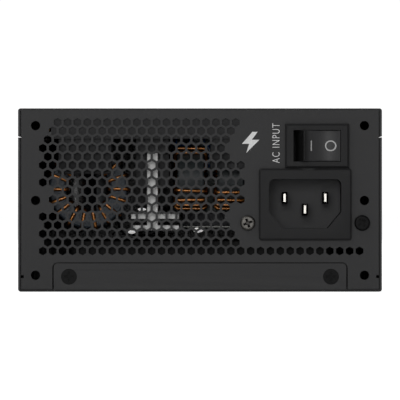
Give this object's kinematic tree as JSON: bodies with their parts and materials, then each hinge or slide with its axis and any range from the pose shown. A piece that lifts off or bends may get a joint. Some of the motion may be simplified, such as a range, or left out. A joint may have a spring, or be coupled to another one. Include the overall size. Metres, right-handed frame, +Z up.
{
  "type": "computer power supply unit",
  "caption": "Compact black steel computer power supply with a perforated rear panel, mains inlet, rocker switch, bottom fan and modular output sockets.",
  "frame": {"origin": "middle of the bounding box in X and Y, at floor level under the fan cover", "axes": "+X across the rear panel, to the right seen from behind the computer; +Y from the rear panel to the output sockets; +Z up, from the fan cover to the labelled roof"},
  "size_m": [0.125, 0.1058, 0.0631],
  "materials": {
    "chassis": "fine matt black powder coat",
    "fan_cover": "fine matt black powder coat",
    "case_screws": "black zinc",
    "earth_screw": "bright nickel",
    "insulation_sheet": "dark film",
    "rating_label": "printed film label",
    "fan_guard": "black plated wire",
    "fan_screws": "black zinc",
    "fan_frame": "moulded",
    "fan_impeller": "moulded",
    "fan_magnet": "bonded ferrite",
    "fan_shaft": "ground",
    "fan_bearing": "sintered",
    "fan_core": "laminated",
    "fan_coils": "enamelled copper",
    "fan_board": "glass epoxy",
    "fan_lead": "PVC",
    "fan_plug": "natural nylon",
    "inlet_housing": "fine spark texture",
    "inlet_pins": "nickel-plated brass",
    "inlet_bracket": "zinc plated",
    "lead_lug": "tinned",
    "switch_housing": "fine spark texture",
    "switch_terminals": "silver-plated brass",
    "rocker": "semi-gloss",
    "switch_plunger": "acetal",
    "switch_spring": "spring steel",
    "contact_arm": "copper strip",
    "tab_boots": "clear-grey PVC",
    "live_lead": "brown PVC",
    "switched_lead": "black PVC",
    "neutral_lead": "blue PVC",
    "earth_lead": "green and yellow PVC",
    "main_board": "black solder mask",
    "board_standoffs": "turned hexagon",
    "board_screws": "nickel",
    "film_capacitors": "moulded box",
    "boost_choke_core": "lacquered powder iron",
    "boost_choke_winding": "enamelled copper",
    "line_choke_cores": "lacquered ferrite",
    "line_choke_windings": "enamelled copper",
    "heatsink": "extruded",
    "heatsink_feet": "moulded",
    "rectifiers": "epoxy moulding",
    "power_transistors": "epoxy moulding",
    "bulk_capacitors": "printed sleeve",
    "output_capacitors": "can",
    "transformer_core": "ferrite",
    "transformer_winding": "yellow polyester tape",
    "barrier_card": "white insulating card",
    "disc_capacitors": "lacquer",
    "relay": "moulded",
    "output_choke": "enamelled copper on green core",
    "control_board": "glass epoxy",
    "socket_board": "black solder mask",
    "bus_bars": "tinned copper",
    "long_sockets": "nylon",
    "eight_way_sockets": "nylon",
    "small_sockets": "nylon",
    "socket_pins": "gold flash over nickel"
  },
  "bodies": {
    "case": {"chassis": "chassis", "fan_cover": "fan_cover", "case_screws": "case_screws", "earth_screw": "earth_screw", "insulation_sheet": "insulation_sheet", "rating_label": "rating_label", "fan_guard": "fan_guard", "fan_screws": "fan_screws", "fan_frame": "fan_frame", "fan_bearing": "fan_bearing", "fan_core": "fan_core", "fan_coils": "fan_coils", "fan_board": "fan_board", "fan_lead": "fan_lead", "fan_plug": "fan_plug", "inlet_housing": "inlet_housing", "inlet_pins": "inlet_pins", "inlet_bracket": "inlet_bracket", "lead_lug": "lead_lug", "switch_housing": "switch_housing", "switch_terminals": "switch_terminals", "tab_boots": "tab_boots", "live_lead": "live_lead", "switched_lead": "switched_lead", "neutral_lead": "neutral_lead", "earth_lead": "earth_lead", "main_board": "main_board", "board_standoffs": "board_standoffs", "board_screws": "board_screws", "film_capacitors": "film_capacitors", "boost_choke_core": "boost_choke_core", "boost_choke_winding": "boost_choke_winding", "line_choke_cores": "line_choke_cores", "line_choke_windings": "line_choke_windings", "heatsink": "heatsink", "heatsink_feet": "heatsink_feet", "rectifiers": "rectifiers", "power_transistors": "power_transistors", "bulk_capacitors": "bulk_capacitors", "output_capacitors": "output_capacitors", "transformer_core": "transformer_core", "transformer_winding": "transformer_winding", "barrier_card": "barrier_card", "disc_capacitors": "disc_capacitors", "relay": "relay", "output_choke": "output_choke", "control_board": "control_board", "socket_board": "socket_board", "bus_bars": "bus_bars", "long_sockets": "long_sockets", "eight_way_sockets": "eight_way_sockets", "small_sockets": "small_sockets", "socket_pins": "socket_pins"},
    "rocker": {"rocker": "rocker", "switch_plunger": "switch_plunger", "switch_spring": "switch_spring"},
    "contact_arm": {"contact_arm": "contact_arm"},
    "fan_rotor": {"fan_impeller": "fan_impeller", "fan_magnet": "fan_magnet", "fan_shaft": "fan_shaft"}
  },
  "joints": [
    {"name": "rocker_throw", "type": "hinge", "parent": "case", "child": "rocker", "pos_m": [0.0402, -0.04452, 0.0501], "axis": [0, 0, -1], "range_deg": [0, 28]},
    {"name": "contact_arm_tilt", "type": "hinge", "parent": "case", "child": "contact_arm", "pos_m": [0.0402, -0.03922, 0.0501], "axis": [0, 0, -1], "range_deg": [-14, 0]},
    {"name": "fan_spin", "type": "hinge", "parent": "case", "child": "fan_rotor", "pos_m": [0, 0.00208, 0.009], "axis": [0, 0, 1], "continuous": true}
  ],
  "couplings": [
    {"joint": "contact_arm_tilt", "follows": "rocker_throw", "ratio": -0.5}
  ]
}
